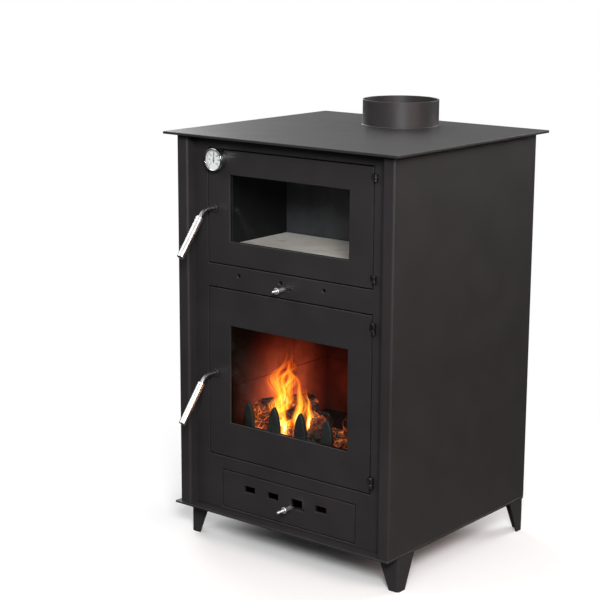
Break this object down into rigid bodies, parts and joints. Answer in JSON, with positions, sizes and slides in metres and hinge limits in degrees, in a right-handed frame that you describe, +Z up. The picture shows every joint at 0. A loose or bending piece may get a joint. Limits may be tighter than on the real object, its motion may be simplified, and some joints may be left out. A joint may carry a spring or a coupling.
{
  "type": "wood stove with oven",
  "caption": "Free-standing steel wood stove: glazed firebox door below, glazed oven door with a thermometer above, ash drawer with an air slide, flue collar on top.",
  "frame": {"origin": "middle of the stove's outline on the floor, at the feet", "axes": "+Z up, +Y towards the back of the stove, +X to the right seen from the front"},
  "size_m": [0.546, 0.56, 0.857],
  "materials": {
    "body_paint": "satin anthracite stove paint",
    "inner_steel": "matt heat-proof paint",
    "cast_iron": "rough cast",
    "refractory_stone": "matt refractory stone",
    "fire_brick": "matt fire brick",
    "door_glass": "ceramic glass",
    "lens_glass": "clear glass",
    "rope_seal": "braided glass rope",
    "rod_steel": "drawn steel",
    "polished_steel": "polished",
    "dial_enamel": "white dial",
    "needle_black": "black needle"
  },
  "bodies": {
    "stove_body": {"side_panel_right": "body_paint", "side_panel_left": "body_paint", "back_panel": "body_paint", "top_plate": "body_paint", "flue_collar": "body_paint", "base_plate": "body_paint", "front_panel": "body_paint", "leg_front_right": "body_paint", "leg_front_left": "body_paint", "leg_rear_right": "body_paint", "leg_rear_left": "body_paint", "oven_door_frame": "inner_steel", "fire_door_frame": "inner_steel", "oven_box": "inner_steel", "hearth_plate": "cast_iron", "fire_brick_right": "fire_brick", "fire_brick_left": "fire_brick", "fire_brick_back": "fire_brick", "oven_hinge_pin_upper": "body_paint", "oven_hinge_pin_lower": "body_paint", "fire_hinge_pin_upper": "body_paint", "fire_hinge_pin_lower": "body_paint", "drawer_runner_right": "inner_steel", "drawer_runner_left": "inner_steel"},
    "oven_door": {"oven_door_plate": "body_paint", "oven_glass": "door_glass", "oven_glass_retainer": "inner_steel", "oven_door_seal": "rope_seal", "oven_handle_bush": "body_paint", "oven_hinge_sleeve_upper": "body_paint", "oven_hinge_sleeve_lower": "body_paint", "thermometer_case": "polished_steel", "thermometer_bezel": "polished_steel", "thermometer_dial": "dial_enamel", "thermometer_lens": "lens_glass", "thermometer_nut": "rod_steel"},
    "oven_handle": {"oven_handle_rod": "rod_steel", "oven_handle_grip": "polished_steel", "oven_latch_tongue": "rod_steel"},
    "thermometer_hand": {"thermometer_needle": "needle_black"},
    "fire_door": {"fire_door_plate": "body_paint", "fire_glass": "door_glass", "fire_glass_retainer": "inner_steel", "fire_door_seal": "rope_seal", "fire_handle_bush": "body_paint", "fire_hinge_sleeve_upper": "body_paint", "fire_hinge_sleeve_lower": "body_paint"},
    "fire_handle": {"fire_handle_rod": "rod_steel", "fire_handle_grip": "polished_steel", "fire_latch_tongue": "rod_steel"},
    "ash_drawer": {"ash_drawer_front": "body_paint", "ash_pan": "inner_steel"},
    "air_control": {"air_slide": "inner_steel", "air_slide_knob": "polished_steel"},
    "rail_control": {"rail_slide": "inner_steel", "rail_slide_knob": "polished_steel"},
    "loose_stone": {"oven_stone": "refractory_stone"},
    "loose_grate": {"grate": "cast_iron"},
    "loose_guard": {"log_guard": "cast_iron"},
    "loose_baffle": {"baffle_plate": "cast_iron"}
  },
  "joints": [
    {"name": "oven_door_hinge", "type": "hinge", "parent": "stove_body", "child": "oven_door", "pos_m": [0.202, -0.18202, 0.6685], "axis": [0, 0, 1], "range_deg": [0, 120]},
    {"name": "fire_door_hinge", "type": "hinge", "parent": "stove_body", "child": "fire_door", "pos_m": [0.202, -0.18202, 0.3455], "axis": [0, 0, 1], "range_deg": [0, 120]},
    {"name": "oven_handle_turn", "type": "hinge", "parent": "oven_door", "child": "oven_handle", "pos_m": [-0.177, -0.18, 0.666], "axis": [0, 1, 0], "range_deg": [-35, 60]},
    {"name": "fire_handle_turn", "type": "hinge", "parent": "fire_door", "child": "fire_handle", "pos_m": [-0.177, -0.18, 0.344], "axis": [0, 1, 0], "range_deg": [-35, 60]},
    {"name": "thermometer_needle_turn", "type": "hinge", "parent": "oven_door", "child": "thermometer_hand", "pos_m": [-0.168, -0.191, 0.759], "axis": [0, 1, 0], "range_deg": [-135, 135]},
    {"name": "ash_drawer_slide", "type": "slide", "parent": "stove_body", "child": "ash_drawer", "axis": [0, -1, 0], "range_m": [0, 0.28]},
    {"name": "air_slide_travel", "type": "slide", "parent": "ash_drawer", "child": "air_control", "axis": [1, 0, 0], "range_m": [0, 0.028]},
    {"name": "rail_slide_travel", "type": "slide", "parent": "stove_body", "child": "rail_control", "axis": [1, 0, 0], "range_m": [0, 0.012]},
    {"name": "oven_stone_lift", "type": "slide", "parent": "stove_body", "child": "loose_stone", "axis": [0, 0, 1], "range_m": [0, 0.07]},
    {"name": "grate_lift", "type": "slide", "parent": "stove_body", "child": "loose_grate", "axis": [0, 0, 1], "range_m": [0, 0.1]},
    {"name": "log_guard_lift", "type": "slide", "parent": "stove_body", "child": "loose_guard", "axis": [0, 0, 1], "range_m": [0, 0.1]},
    {"name": "baffle_lift", "type": "slide", "parent": "stove_body", "child": "loose_baffle", "axis": [0, 0, 1], "range_m": [0, 0.04]}
  ]
}
